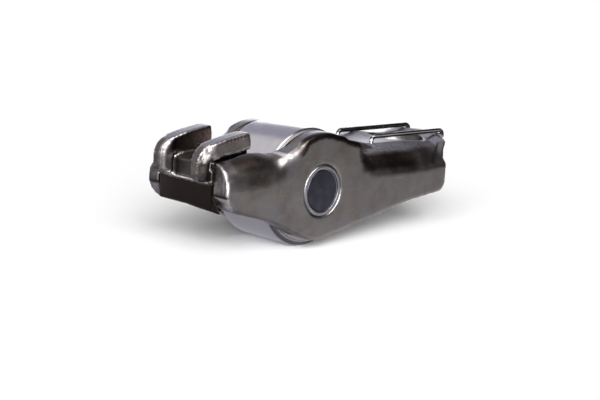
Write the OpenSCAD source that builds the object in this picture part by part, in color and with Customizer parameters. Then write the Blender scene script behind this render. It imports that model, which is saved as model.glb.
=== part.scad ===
// Roller finger follower (rocker arm) pressed from thick sheet steel.
// Units are millimetres. The origin is on the roller axis at mid width,
// +X points to the pivot socket, -X to the valve end, +Z is the side that
// faces the valve stem and the pivot ball, -Z is the cam side.

/* [Roller and axle] */
// outside diameter of the roller
roller_d = 17.5; // [16:0.1:17.8]
// width of the roller over its end faces
roller_w = 10.7; // [9:0.1:12]
// size of the bevel at each end of the roller
roller_bevel = 0.55; // [0.3:0.05:0.8]
// axial room between roller and side wall, each side
side_gap = 0.4; // [0.2:0.05:0.8]
// diameter of the axle
axle_d = 7.56; // [7:0.02:8]
// radial running room of the needles
needle_play = 0.04; // [0.02:0.01:0.08]
// room between the roller and the ends of each needle
needle_end_gap = 0.55; // [0.3:0.05:1]

/* [Lever body] */
// thickness of the formed sheet
sheet_t = 2.6; // [2.3:0.05:2.8]
// distance from roller axis to the valve contact line
valve_reach = 15; // [14:0.1:16]
// distance from roller axis to the pivot socket axis
pivot_reach = 24.7; // [23.5:0.1:27]
// height of the web above the roller axis
web_top = 5.2; // [5:0.05:5.5]
// outer bend radius of the pivot arm
pivot_bend_r = 4.3; // [4:0.05:4.5]
// outer bend radius of the valve arm
valve_bend_r = 2.7; // [2.4:0.05:2.9]
// how far the wall crest stays inside the roller surface
crest_drop = 0.3; // [0.1:0.05:0.6]
// how far the wall belly stays inside the roller surface
belly_drop = 1.45; // [1:0.05:2]

/* [Valve end] */
// clear width between the two guide lugs
lug_gap = 5.9; // [5:0.1:6.1]
// thickness of each guide lug
lug_t = 2.35; // [2:0.05:2.45]
// height of a guide lug above the web
lug_rise = 3.5; // [2.8:0.05:3.8]
// radius of the crowned valve pad
pad_r = 10; // [9:0.5:20]
// depth of the slit between lug and wall
slit_depth = 1.5; // [1:0.05:1.7]

/* [Pivot end] */
// diameter of the pivot ball the socket takes
ball_d = 9; // [8.4:0.1:9.2]
// room between ball and socket
ball_play = 0.1; // [0.05:0.01:0.15]
// wall left under the socket
dome_t = 1.8; // [1.4:0.05:2]
// diameter of the oil hole
oil_hole_d = 1.4; // [1:0.1:1.8]
// height of the raised lip at the tip
lip_rise = 0.7; // [0.5:0.05:0.8]

/* [Retaining clip] */
// diameter of the clip wire
wire_d = 0.7; // [0.5:0.02:0.8]
// distance between the two wire legs
wire_spacing = 7.2; // [6.8:0.05:7.4]
// air between wire and sheet where they pass
wire_air = 0.05; // [0.03:0.01:0.1]

/* [Hidden] */
eps = 0.01;
// far enough to cut right through the part
reach = 60;
// how far an outline runs on past the cut that ends it
overrun = 1;
// an arc stands this far out of the line that it meets, so that they cross
tuck = 0.003;
roller_r = roller_d / 2;
inner_half = roller_w / 2 + side_gap;
outer_half = inner_half + sheet_t;
web_under = web_top - sheet_t;
crest_r = roller_r - crest_drop;
belly_r = roller_r - belly_drop;
axle_r = axle_d / 2;

// a full ring of needles fills the pitch circle
NEEDLES = 16;
needle_gap = 0.03;
crowding = sin(180 / NEEDLES);
needle_d = (crowding * (axle_d + needle_play) - needle_gap) / (1 - crowding);
needle_pitch_r = (axle_d + needle_play + needle_d) / 2;
needle_len = roller_w - 2 * needle_end_gap;
needle_crown = 0.12;
ring_bore_r = axle_r + needle_d + needle_play;
end_step = 0.12;
land_gap = 0.35;
land_run = 0.05;
end_land_r = roller_r - roller_bevel - land_gap;
bore_bevel = 0.3;

// axle and its staked ends
press_room = 0.01;
axle_inset = 0.15;
axle_half = outer_half - axle_inset;
axle_bevel = 0.66;
bevel_depth = 0.4;
disc_groove = 0.08;
groove_depth = 0.1;
bore_relief = 0.15;

// stations of the valve arm, from the line where the stem touches the pad
nose_over = 3.5;
flange_over = 3.7;
pad_behind = 3.3;
kink_behind = 4.5;
valve_nose = valve_reach + nose_over;
flange_face = valve_reach + flange_over;
pad_rear = valve_reach - pad_behind;
valve_kink_x = valve_reach - kink_behind;

// outline of the side walls
valve_corner_r = 3.2;
valve_corner_z = 1.2;
valve_slope = 18;
belly_vertex_r = 6;
belly_vertex_x = -0.7;
belly_fall = 24.5;
belly_climb = 11;
tail_kink_back = 5.2;
tail_kink_x = pivot_reach - tail_kink_back;
tail_slope = 6;
nose_drop = 0.2;
valve_top = web_top - nose_drop;
root_rise = 0.65;
root_top = web_top + root_rise;

// the ears, where the crest round the roller comes down to the web
ear_angle = 52;
ear_in = 0.75;
ear_rise = 0.75;
ear_root_rise = 0.1;
foot_out = 0.15;
ear_x = roller_r - ear_in;
ear_z = web_top + ear_rise;
ear_root_z = root_top + ear_root_rise;
ear_foot = roller_r + foot_out;
valve_tilt = atan((root_top - valve_top) / (valve_nose - ear_foot));

// where the bends run out into the walls
run_off = 0.5;
valve_squash = 0.8;
pivot_squash = 0.45;
pivot_run_gap = 1.5;
pivot_run_x = roller_r + pivot_run_gap;

// socket
mouth_drop = 0.15;
mouth_bevel = 0.3;
dome_sink = 0.5;
socket_r = ball_d / 2 + ball_play;
socket_z = web_top - mouth_drop;
dome_r = socket_r + dome_t;
dome_top = web_top - dome_sink;

// rounded tip of the pivot arm, with room for the clip round the dome
tip_back = 2;
tip_room = 3.5;
hook_room = 2.7;
lip_ahead = 5;
tip_centre = pivot_reach - tip_back;
tip_r = dome_r + tip_room;
tip_floor = -3.5;
tip_corner = 2.4;
window_front = pivot_reach - dome_r - hook_room;
lip_start = tip_centre + lip_ahead;
lip_len = 3;
lip_tilt = atan(lip_rise / lip_len);

// guide lugs
lug_in = lug_gap / 2;
lug_out = lug_in + lug_t;
lug_nose_r = 2.6;
lug_nose_over = 3.3;
lug_arc_r = 26;
lug_arc_behind = 4.2;
lug_toe_r = 1;
lug_toe_gap = 0.3;
lug_root_rise = 1.2;
lug_nose_x = valve_reach + lug_nose_over;
lug_top = web_top + lug_rise;
lug_arc_x = valve_reach - lug_arc_behind;
lug_arc_z = lug_top - lug_arc_r;
lug_lean = asin((lug_nose_x - lug_arc_x) / (lug_arc_r - lug_nose_r));
lug_nose_z = lug_arc_z + (lug_arc_r - lug_nose_r) * cos(lug_lean);
lug_root_z = web_under + lug_root_rise;

// bent down front flange and the pad behind it, which stands back a little
flange_drop = 3.1;
flange_foot = -1.5;
flange_t = sheet_t;
pad_setback = 0.4;
pad_crown = 0.05;
neck_drop = 1.6;
neck_h = 1.8;
seam_depth = 1.4;
flange_room = 1.1;
flange_top = web_top - flange_drop;
pad_face = flange_face - pad_setback;
pad_peak = web_top + pad_crown;
neck_foot = web_under - neck_drop;

// clip
hook_bend = 0.8;
hook_len = 1.9;
cross_in = 1.6;
wire_r = wire_d / 2;
wire_z = web_top + lip_rise + wire_air + wire_r;
hook_z = web_under - wire_air - wire_r;
rear_x = window_front - wire_air - wire_r;
tip_at_wire = tip_centre + sqrt(pow(tip_r, 2) - pow(wire_spacing / 2 - wire_r, 2));
front_x = tip_at_wire + wire_air + wire_r;
rear_hook_end = rear_x + hook_len;
cross_x = front_x - cross_in;

function needle_name(i) = str("needle_", i < 10 ? "0" : "", i);

// turns a flat outline in x and z into a plate between two y planes
module plate(y0, y1) {
    translate([0, y1, 0])
        rotate([90, 0, 0])
            linear_extrude(height = y1 - y0)
                children();
}

// runs a flat section in y and z along x
module run(x0, x1) {
    translate([x0, 0, 0])
        rotate([90, 0, 90])
            linear_extrude(height = x1 - x0)
                children();
}

module both_sides() {
    children();
    mirror([0, 1, 0])
        children();
}

// the belly line, lowest under the roller and rounded at its vertex
module belly_core() {
    vx = belly_vertex_x;
    vz = belly_vertex_r - belly_r;
    left = [vx - belly_vertex_r * sin(belly_fall), vz - belly_vertex_r * cos(belly_fall)];
    right = [vx + belly_vertex_r * sin(belly_climb), vz - belly_vertex_r * cos(belly_climb)];
    corner_c = [valve_corner_r - valve_nose, valve_corner_z];
    corner_t = corner_c - valve_corner_r * [sin(valve_slope), cos(valve_slope)];
    kink_z = left[1] + (left[0] + valve_kink_x) * tan(belly_fall);
    tail_z = right[1] + (tail_kink_x - right[0]) * tan(belly_climb);
    end_x = tip_centre + tip_r + overrun;
    end_z = tail_z + (end_x - tail_kink_x) * tan(tail_slope);
    translate([vx, vz])
        circle(r = belly_vertex_r + tuck, $fn = 128);
    translate(corner_c)
        circle(r = valve_corner_r + tuck, $fn = 96);
    polygon([
        [-valve_nose, valve_top],
        [-valve_nose, valve_corner_z],
        corner_c,
        corner_t,
        [-valve_kink_x, kink_z],
        left,
        [vx, vz],
        right,
        [tail_kink_x, tail_z],
        [end_x, end_z],
        [end_x, web_top],
        [ear_foot, web_top],
        [-ear_foot, root_top]
    ]);
}

// side view of one wall, with the crest round the roller and its two ears
module wall_outline() {
    inside = crest_r - tuck;
    belly_core();
    intersection() {
        circle(r = crest_r, $fn = 160);
        translate([-crest_r - overrun, 0])
            square([2 * (crest_r + overrun), crest_r + overrun]);
    }
    polygon([
        [-ear_foot, 0],
        [-ear_foot, root_top],
        [-ear_x, ear_root_z],
        [-inside * cos(ear_angle), inside * sin(ear_angle)],
        [inside * cos(ear_angle), inside * sin(ear_angle)],
        [ear_x, ear_z],
        [ear_foot, web_top],
        [ear_foot, 0]
    ]);
}

// rounds the end of a bend, where it runs out into the upright wall
module bend_run_out(x, top, r, squash) {
    translate([x, -outer_half - run_off, 0])
        scale([squash, 1, 1])
            rotate_extrude($fn = 96)
                difference() {
                    translate([0, top - r])
                        square([run_off + r, 2 * r]);
                    translate([run_off + r, top - r])
                        circle(r = r, $fn = 128);
                }
}

// rounds the outer corner of a bend over one span of x
module shoulder_cut(x0, x1, top, r) {
    run(x0, x1)
        difference() {
            translate([-outer_half - run_off, top - r])
                square([r + run_off, 2 * r]);
            translate([r - outer_half, top - r])
                circle(r = r, $fn = 128);
        }
}

// section of the channel between the walls, down to its open side
module channel_section(r) {
    difference() {
        union() {
            translate([-outer_half, web_top - r - reach])
                square([2 * outer_half, reach]);
            translate([r - outer_half, web_top - r])
                square([2 * (outer_half - r), r]);
            translate([r - outer_half, web_top - r])
                circle(r = r, $fn = 128);
            translate([outer_half - r, web_top - r])
                circle(r = r, $fn = 128);
        }
        channel_hollow(r - sheet_t);
    }
}

module channel_hollow(r) {
    translate([-inner_half, web_under - r - reach])
        square([2 * inner_half, reach]);
    translate([r - inner_half, web_under - r])
        square([2 * (inner_half - r), r]);
    translate([r - inner_half, web_under - r])
        circle(r = r, $fn = 96);
    translate([inner_half - r, web_under - r])
        circle(r = r, $fn = 96);
}

// everything inside the rounded tip stays
module tip_trim() {
    translate([-reach, -reach, -reach])
        cube([reach + tip_centre, 2 * reach, 2 * reach]);
    translate([tip_centre, 0, 0])
        rotate_extrude($fn = 160) {
            translate([0, tip_floor])
                square([tip_r - tip_corner, tip_corner]);
            translate([tip_r - tip_corner, tip_floor + tip_corner])
                circle(r = tip_corner, $fn = 96);
            translate([0, tip_floor + tip_corner])
                square([tip_r, reach]);
        }
}

// bent channel of the pivot arm with its raised lip
module pivot_arm() {
    x0 = pivot_run_x;
    x1 = tip_centre + tip_r + overrun;
    raised = lip_start + lip_len;
    intersection() {
        union() {
            run(x0, x1)
                channel_section(pivot_bend_r);
            translate([lip_start, 0, web_under])
                rotate([0, -lip_tilt, 0])
                    translate([-lip_start, 0, -web_under])
                        run(lip_start, raised)
                            channel_section(pivot_bend_r);
            translate([0, 0, lip_rise])
                run(raised, x1)
                    channel_section(pivot_bend_r);
        }
        plate(-outer_half, outer_half)
            union() {
                belly_core();
                translate([x0, 0])
                    square([reach, web_top + lip_rise]);
            }
        tip_trim();
    }
}

// the two upright walls with the bend run-outs beside the crest
module walls() {
    difference() {
        both_sides()
            plate(inner_half, outer_half)
                difference() {
                    wall_outline();
                    translate([pivot_run_x, -reach])
                        square([reach, 2 * reach]);
                }
        both_sides() {
            translate([-ear_foot, 0, root_top])
                rotate([0, -valve_tilt, 0]) {
                    shoulder_cut(-reach, 0, 0, valve_bend_r);
                    bend_run_out(0, 0, valve_bend_r, valve_squash);
                }
            bend_run_out(pivot_run_x, web_top, pivot_bend_r, pivot_squash);
        }
    }
}

// web of the valve arm, crowned as the valve pad, with its front flange
module valve_web() {
    plate(-inner_half - eps, inner_half + eps)
        union() {
            intersection() {
                translate([-valve_reach, pad_peak - pad_r])
                    circle(r = pad_r, $fn = 192);
                translate([-pad_face, web_under])
                    square([pad_face - pad_rear, reach]);
            }
            translate([-flange_face, flange_foot])
                square([flange_t, flange_top - flange_foot]);
            translate([-pad_face, neck_foot])
                square([flange_t - pad_setback, neck_h]);
        }
}

// one guide lug seen from the side, its long top arc tangent to its nose
module lug_outline() {
    toe_z = flange_top + lug_toe_gap + lug_toe_r;
    toe_x = lug_nose_x + lug_nose_r - lug_toe_r;
    touch = [lug_arc_r * sin(lug_lean), lug_arc_r * cos(lug_lean)];
    translate([-lug_nose_x, lug_nose_z])
        circle(r = lug_nose_r + tuck, $fn = 96);
    translate([-toe_x, toe_z])
        circle(r = lug_toe_r + tuck, $fn = 64);
    polygon([
        [-toe_x - lug_toe_r, toe_z],
        [-toe_x - lug_toe_r, lug_nose_z],
        [-lug_nose_x, lug_nose_z],
        [-lug_nose_x, toe_z - lug_toe_r],
        [-toe_x, toe_z - lug_toe_r],
        [-toe_x, toe_z]
    ]);
    intersection() {
        translate([-lug_arc_x, lug_arc_z])
            circle(r = lug_arc_r, $fn = 360);
        polygon([
            [-lug_arc_x - touch[0], lug_arc_z + touch[1]],
            [-lug_arc_x - touch[0], lug_top + overrun],
            [-pad_rear, lug_top + overrun],
            [-pad_rear, lug_root_z],
            [-lug_nose_x, toe_z - lug_toe_r]
        ]);
    }
}

module guide_lugs() {
    both_sides()
        plate(lug_in, lug_out)
            lug_outline();
}

// slits beside the lugs and open seams beside the front flange
module valve_slits() {
    front = flange_face + overrun;
    foot = flange_foot - overrun;
    wide = inner_half - lug_out;
    both_sides() {
        translate([-front, lug_out, web_top - slit_depth])
            cube([front - pad_rear + eps, wide, reach]);
        translate([-front, lug_out, foot])
            cube([overrun + seam_depth, wide, reach]);
        translate([-front, lug_out, foot])
            cube([flange_t + flange_room, wide, flange_top - foot]);
    }
}

// deep drawn socket with its dome on the cam side
module socket_dome() {
    intersection() {
        translate([pivot_reach, 0, socket_z])
            sphere(r = dome_r, $fn = 72);
        translate([pivot_reach - dome_r, -inner_half - eps, -reach])
            cube([2 * dome_r, 2 * (inner_half + eps), reach + dome_top]);
    }
}

module socket_hollow() {
    translate([pivot_reach, 0, socket_z])
        sphere(r = socket_r, $fn = 96);
    translate([pivot_reach, 0, socket_z])
        cylinder(h = reach, r = socket_r, $fn = 96);
    translate([pivot_reach, 0, web_top - mouth_bevel])
        cylinder(h = mouth_bevel + eps, r1 = socket_r, r2 = socket_r + mouth_bevel, $fn = 96);
    translate([pivot_reach, 0, -reach])
        cylinder(h = reach + socket_z, d = oil_hole_d, $fn = 32);
}

// press bores for the axle, opened a little at the outside
module axle_bores() {
    bore_r = axle_r + press_room;
    rotate([90, 0, 0])
        cylinder(h = 2 * (outer_half + overrun), r = bore_r, center = true, $fn = 96);
    both_sides()
        translate([0, outer_half - bore_relief, 0])
            rotate([-90, 0, 0])
                cylinder(h = bore_relief + eps, r1 = bore_r, r2 = bore_r + bore_relief, $fn = 96);
}

module lever_body() {
    color([0.45, 0.43, 0.42])
        difference() {
            union() {
                walls();
                pivot_arm();
                valve_web();
                guide_lugs();
                socket_dome();
            }
            translate([-pad_rear, -inner_half, -reach])
                cube([window_front + pad_rear, 2 * inner_half, 2 * reach]);
            valve_slits();
            socket_hollow();
            axle_bores();
        }
}

// axle, each end a flat disc inside a fine groove and a wide bevel
module axle() {
    rim = axle_r - axle_bevel;
    color([0.25, 0.25, 0.29])
        rotate([90, 0, 0])
            rotate_extrude($fn = 96)
                union() {
                    translate([0, -axle_half])
                        square([rim - disc_groove, 2 * axle_half]);
                    translate([0, groove_depth - axle_half])
                        square([rim, 2 * (axle_half - groove_depth)]);
                    polygon([
                        [rim - eps, -axle_half],
                        [rim, -axle_half],
                        [axle_r, bevel_depth - axle_half],
                        [axle_r, axle_half - bevel_depth],
                        [rim, axle_half],
                        [rim - eps, axle_half]
                    ]);
                }
}

// hardened outer ring that rolls on the cam
module roller_ring() {
    h = roller_w / 2;
    color([0.68, 0.67, 0.70])
        rotate([90, 0, 0])
            rotate_extrude($fn = 144)
                polygon([
                    [ring_bore_r, bore_bevel - h],
                    [ring_bore_r + bore_bevel, -h],
                    [end_land_r, -h],
                    [end_land_r + land_run, end_step - h],
                    [roller_r - roller_bevel, end_step - h],
                    [roller_r, roller_bevel - h],
                    [roller_r, h - roller_bevel],
                    [roller_r - roller_bevel, h - end_step],
                    [end_land_r + land_run, h - end_step],
                    [end_land_r, h],
                    [ring_bore_r + bore_bevel, h],
                    [ring_bore_r, h - bore_bevel]
                ]);
}

// one needle of the full ring, numbered from the top towards the pivot
module needle(i) {
    a = (i - 1) * 360 / NEEDLES;
    h = needle_len / 2;
    r = needle_d / 2;
    color([0.72, 0.72, 0.74])
        translate([needle_pitch_r * sin(a), 0, needle_pitch_r * cos(a)])
            rotate([90, 0, 0])
                rotate_extrude($fn = 24)
                    polygon([
                        [0, -h],
                        [r - needle_crown, -h],
                        [r, needle_crown - h],
                        [r, h - needle_crown],
                        [r - needle_crown, h],
                        [0, h]
                    ]);
}

// straight piece of wire along x, y or z
module wire_x(x0, x1, y, z) {
    translate([x0, y, z])
        rotate([0, 90, 0])
            cylinder(h = x1 - x0, r = wire_r, $fn = 24);
}

module wire_z_run(x, y, z0, z1) {
    translate([x, y, z0])
        cylinder(h = z1 - z0, r = wire_r, $fn = 24);
}

// quarter bend in the x and z plane, from angle a to a + 90
module wire_bend(x, y, z, a) {
    translate([x, y, z])
        rotate([90, 0, 0])
            rotate([0, 0, a])
                rotate_extrude(angle = 90, $fn = 48)
                    translate([hook_bend, 0])
                        circle(r = wire_r, $fn = 24);
}

// one leg: hooked under the web edge, over the mouth and down the tip
module clip_leg(y) {
    b = hook_bend;
    wire_x(rear_x + b, rear_hook_end, y, hook_z);
    wire_bend(rear_x + b, y, hook_z + b, 180);
    wire_z_run(rear_x, y, hook_z + b, wire_z - b);
    wire_bend(rear_x + b, y, wire_z - b, 90);
    wire_x(rear_x + b, front_x - b, y, wire_z);
    wire_bend(front_x - b, y, wire_z - b, 0);
    wire_z_run(front_x, y, hook_z + b, wire_z - b);
    wire_bend(front_x - b, y, hook_z + b, 270);
    // turn in plan into the cross piece under the lip
    translate([cross_x + b, y - sign(y) * b, hook_z])
        rotate([0, 0, y < 0 ? 180 : 90])
            rotate_extrude(angle = 90, $fn = 48)
                translate([b, 0])
                    circle(r = wire_r, $fn = 24);
}

module retaining_clip() {
    half = wire_spacing / 2;
    color([0.08, 0.08, 0.09])
        union() {
            clip_leg(-half);
            clip_leg(half);
            translate([cross_x, hook_bend - half, hook_z])
                rotate([-90, 0, 0])
                    cylinder(h = 2 * (half - hook_bend), r = wire_r, $fn = 24);
        }
}

lever_body();
axle();
roller_ring();
retaining_clip();
for (i = [1:NEEDLES]) needle(i);
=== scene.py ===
"""Looks of a pressed-steel roller finger follower, dressed over its fixed frame.

The origin lies on the roller axis, +X points to the pivot socket and +Z to the side of valve
stem and ball. Sizes are written in millimetres, and the finished meshes are in metres.
"""
import logging
import math
from dataclasses import dataclass, field
from enum import Enum
from typing import Sequence

import bmesh
import bpy
import numpy as np
from mathutils import Matrix, Vector, kdtree, noise


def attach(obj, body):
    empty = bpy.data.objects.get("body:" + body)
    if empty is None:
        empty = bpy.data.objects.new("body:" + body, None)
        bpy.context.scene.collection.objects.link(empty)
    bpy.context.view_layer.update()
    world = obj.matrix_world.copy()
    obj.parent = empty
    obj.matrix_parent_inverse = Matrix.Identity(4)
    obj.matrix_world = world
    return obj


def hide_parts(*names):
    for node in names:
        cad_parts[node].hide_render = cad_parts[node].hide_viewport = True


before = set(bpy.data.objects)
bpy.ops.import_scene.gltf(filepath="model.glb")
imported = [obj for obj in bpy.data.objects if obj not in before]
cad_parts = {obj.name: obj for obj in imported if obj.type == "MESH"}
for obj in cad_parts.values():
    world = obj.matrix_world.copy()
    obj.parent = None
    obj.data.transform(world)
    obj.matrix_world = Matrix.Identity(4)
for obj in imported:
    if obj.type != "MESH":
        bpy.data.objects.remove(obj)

MM = 0.001
SHARP = math.radians(35)  # folds above this stay sharp
ON_AXIS = 1e-6  # radius that counts as none, in millimetres
WELD = 1e-7  # distance at which points are one, in metres
FAR = 9.0  # distance given to points that aren't measured, in millimetres
LOG = logging.getLogger("rocker_arm")
Colour = tuple[float, float, float]
Point = tuple[float, float, float]
Curve = tuple[tuple[float, float], ...]
Socket = bpy.types.NodeSocket


class Body(Enum):
    """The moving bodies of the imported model."""

    LEVER = "lever"
    ROLLER = "roller"
    NEEDLES = "needle_set"


class Zone(Enum):
    """Named surface maps that the lever's mesh carries for its finish, painted light and shade
    among them.
    """

    # wear, and highlights painted along edges and in the crest's scoops
    WEAR_AND_GLINT = "wear_and_glint"
    # polish, and a painted sheen on cut ends and on faces that look up
    POLISH_AND_SHEEN = "polish"
    SHEAR = "shear"
    # brown scale, and painted shade and dark reflections; above 1.05 painted black
    SCALE = "scale"


class Graph:
    """Lays the nodes of one tree and links them."""

    def __init__(self, tree: bpy.types.NodeTree) -> None:
        """Takes the tree to build in."""
        self.tree = tree

    def node(self, kind: str, inputs: dict | None = None, **settings: object) -> bpy.types.Node:
        """Adds a node.

        Args:
            kind: Blender's node type.
            inputs: a socket to link or a value to set, by the input's name or number.
            settings: properties of the node by name.

        Returns:
            The new node.
        """
        made = self.tree.nodes.new(kind)
        for key, value in settings.items():
            setattr(made, key, value)
        for key, value in (inputs or {}).items():
            target = made.inputs[key]
            if isinstance(value, bpy.types.NodeSocket):
                self.tree.links.new(value, target)
            elif isinstance(value, tuple) and target.type == "RGBA":
                target.default_value = (*value, 1.0)
            else:
                target.default_value = value
        return made


class Sketch(Graph):
    """The nodes of one material."""

    def __init__(self, name: str) -> None:
        """Starts an empty material.

        Args:
            name: name of the material.
        """
        self.material = bpy.data.materials.new(name)
        self.material.use_nodes = True
        super().__init__(self.material.node_tree)
        self.tree.nodes.clear()
        self.place = self.node("ShaderNodeTexCoord").outputs["Object"]

    def stretched(self, scale: Point, turn: Point = (0, 0, 0)) -> Socket:
        """Object coordinates scaled per axis, for grain that runs one way."""
        inputs = {"Vector": self.place, "Scale": scale, "Rotation": turn}
        return self.node("ShaderNodeMapping", inputs).outputs["Vector"]

    def noise(
        self, scale: float, detail: float = 3.0, rough: float = 0.55, at: Socket | None = None
    ) -> Socket:
        """A noise value.

        Args:
            scale: cells per metre.
            detail: octaves.
            rough: weight of the finer octaves.
            at: coordinates, the object's own if left out.

        Returns:
            The noise's value output.
        """
        inputs = {"Vector": at or self.place, "Scale": scale, "Detail": detail, "Roughness": rough}
        return self.node("ShaderNodeTexNoise", inputs).outputs["Fac"]

    def span(
        self, value: Socket, low: float, high: float, to_low: float = 0.0, to_high: float = 1.0
    ) -> Socket:
        """Maps a value from one range to another, clamped and eased."""
        inputs = {0: value, 1: low, 2: high, 3: to_low, 4: to_high}
        return self.node("ShaderNodeMapRange", inputs, interpolation_type="SMOOTHSTEP").outputs[0]

    def math(self, job: str, a: object, b: object = 0.0) -> Socket:
        """One arithmetic step on numbers or sockets."""
        return self.node("ShaderNodeMath", {0: a, 1: b}, operation=job).outputs[0]

    def times(self, first: object, *others: object) -> Socket:
        """Multiplies numbers and sockets.

        Args:
            first: the first of them.
            others: the rest.

        Returns:
            Their product.
        """
        for other in others:
            first = self.math("MULTIPLY", first, other)
        return first

    def plus(self, a: object, b: object) -> Socket:
        """Adds two numbers or sockets."""
        return self.math("ADD", a, b)

    def over(self, value: Socket, limit: float) -> Socket:
        """1 where a value is over a limit, 0 elsewhere."""
        return self.math("GREATER_THAN", value, limit)

    def under(self, value: Socket, limit: float) -> Socket:
        """1 where a value is under a limit, 0 elsewhere."""
        return self.math("LESS_THAN", value, limit)

    def blend(self, share: object, a: object, b: object) -> Socket:
        """Mixes two colours by a share."""
        return self.node("ShaderNodeMix", {0: share, 6: a, 7: b}, data_type="RGBA").outputs[2]

    def carried(self, name: str) -> Socket:
        """One of the mesh's own maps."""
        return self.node("ShaderNodeAttribute", attribute_name=name).outputs["Fac"]

    def split(self) -> tuple[Socket, ...]:
        """The object coordinates as three numbers."""
        return tuple(self.node("ShaderNodeSeparateXYZ", {0: self.place}).outputs)

    def about_axis(self) -> tuple[Socket, Socket]:
        """Place along the roller axis, and distance from it."""
        x, y, z = self.split()
        return y, self.math("SQRT", self.plus(self.times(x, x), self.times(z, z)))

    def bump(
        self, height: Socket, depth: float, strength: float = 1.0, over: Socket | None = None
    ) -> Socket:
        """A bumped normal.

        Args:
            height: height between 0 and 1.
            depth: height of 1 in metres.
            strength: share of the effect.
            over: a normal to bump further.

        Returns:
            The normal.
        """
        inputs = {"Strength": strength, "Distance": depth, "Height": height}
        if over is not None:
            inputs["Normal"] = over
        return self.node("ShaderNodeBump", inputs).outputs["Normal"]

    def finish(self, surface: Socket) -> bpy.types.Material:
        """Ends the sketch in its surface and returns the material."""
        self.node("ShaderNodeOutputMaterial", {"Surface": surface})
        return self.material

    def metal(self, colour: object, rough: object, normal: Socket) -> bpy.types.Material:
        """Ends the sketch in bare metal and returns the material."""
        inputs = {"Metallic": 1.0, "Base Color": colour, "Roughness": rough, "Normal": normal}
        return self.finish(self.node("ShaderNodeBsdfPrincipled", inputs).outputs[0])


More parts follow.
